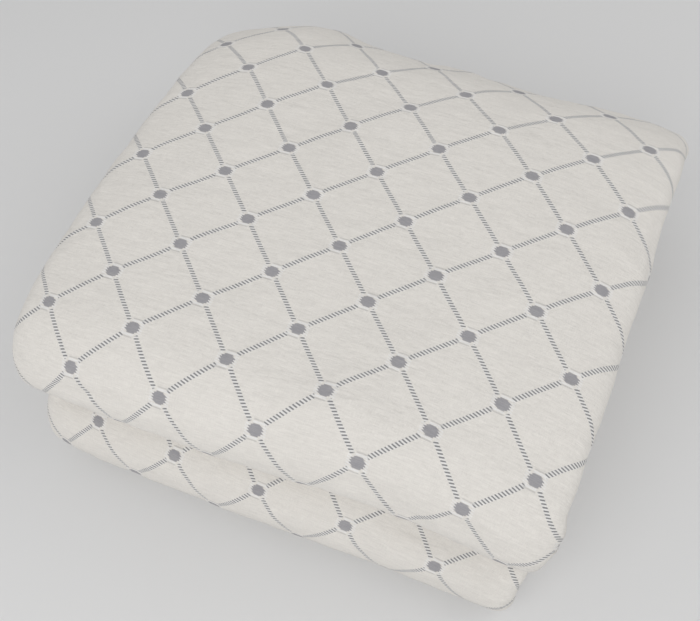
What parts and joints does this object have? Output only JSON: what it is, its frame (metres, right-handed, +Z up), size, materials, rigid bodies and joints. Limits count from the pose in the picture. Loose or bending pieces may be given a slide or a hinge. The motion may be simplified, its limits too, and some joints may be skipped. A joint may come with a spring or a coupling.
{
  "type": "folded bedspread",
  "caption": "Woven bedspread folded into a thick square pile: two soft rolls along the front, one wide turn at the back, flat underneath.",
  "frame": {"origin": "middle of the pile's outline, on the surface that it lies on", "axes": "+X along the front rolls, +Y from the rolls to the back turn, +Z up"},
  "size_m": [0.4215, 0.4178, 0.1687],
  "materials": {
    "cloth": "matt cream jacquard with a grey diamond lattice"
  },
  "bodies": {
    "root": {"bedspread": "cloth"}
  },
  "joints": []
}
